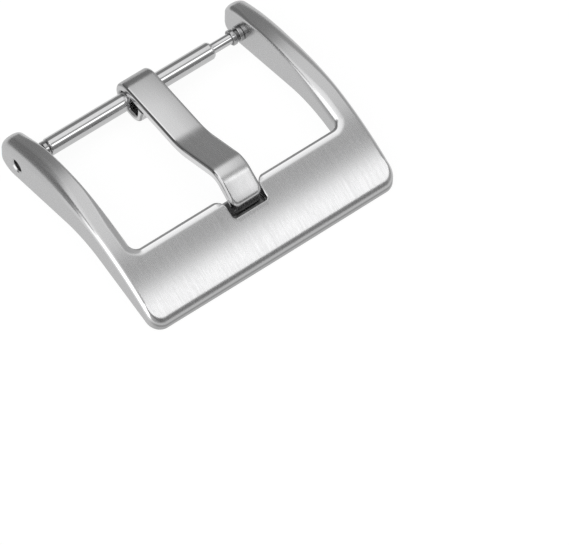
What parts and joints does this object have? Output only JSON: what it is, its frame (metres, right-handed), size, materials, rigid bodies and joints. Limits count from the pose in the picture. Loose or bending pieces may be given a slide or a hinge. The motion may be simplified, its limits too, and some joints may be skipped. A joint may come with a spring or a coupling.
{
  "type": "watch buckle",
  "caption": "Brushed steel tang buckle for a watch strap: an arched one-piece frame with a wide face, a hinged tang and a sprung bar.",
  "frame": {"origin": "under the middle of the buckle, on the plane that its two arm ends and its front edge rest on", "axes": "+X across the strap towards the right arm, -Y from the bar to the face and the strap's free end, +Z out of the outer face"},
  "size_m": [0.0238, 0.0208, 0.0053],
  "materials": {
    "brushed_frame": "stainless steel, fine brushing from front to back on the face, satin on the arms, polished rim",
    "brushed_tang": "stainless steel, satin top with polished side edges",
    "polished_bar": "stainless steel, polished",
    "spring_wire": "drawn spring wire"
  },
  "bodies": {
    "frame": {"frame": "brushed_frame"},
    "tang": {"tang": "brushed_tang"},
    "left_plunger": {"left_plunger": "polished_bar"},
    "bar": {"spring_bar_tube": "polished_bar", "coil_spring": "spring_wire"},
    "right_plunger": {"right_plunger": "polished_bar"}
  },
  "joints": [
    {"name": "tang_swing", "type": "hinge", "parent": "frame", "child": "tang", "pos_m": [0, 0.0079, 0.0018], "axis": [-1, 0, 0], "range_deg": [0, 340]},
    {"name": "left_plunger_press", "type": "slide", "parent": "frame", "child": "left_plunger", "axis": [1, 0, 0], "range_m": [0, 0.00092], "stiffness_N_per_m": 400, "deforming": ["coil_spring"]},
    {"name": "right_plunger_press", "type": "slide", "parent": "frame", "child": "right_plunger", "axis": [-1, 0, 0], "range_m": [0, 0.00092], "stiffness_N_per_m": 400, "deforming": ["coil_spring"]},
    {"name": "bar_spin", "type": "hinge", "parent": "left_plunger", "child": "bar", "pos_m": [0, 0.0079, 0.0018], "axis": [1, 0, 0], "continuous": true}
  ]
}
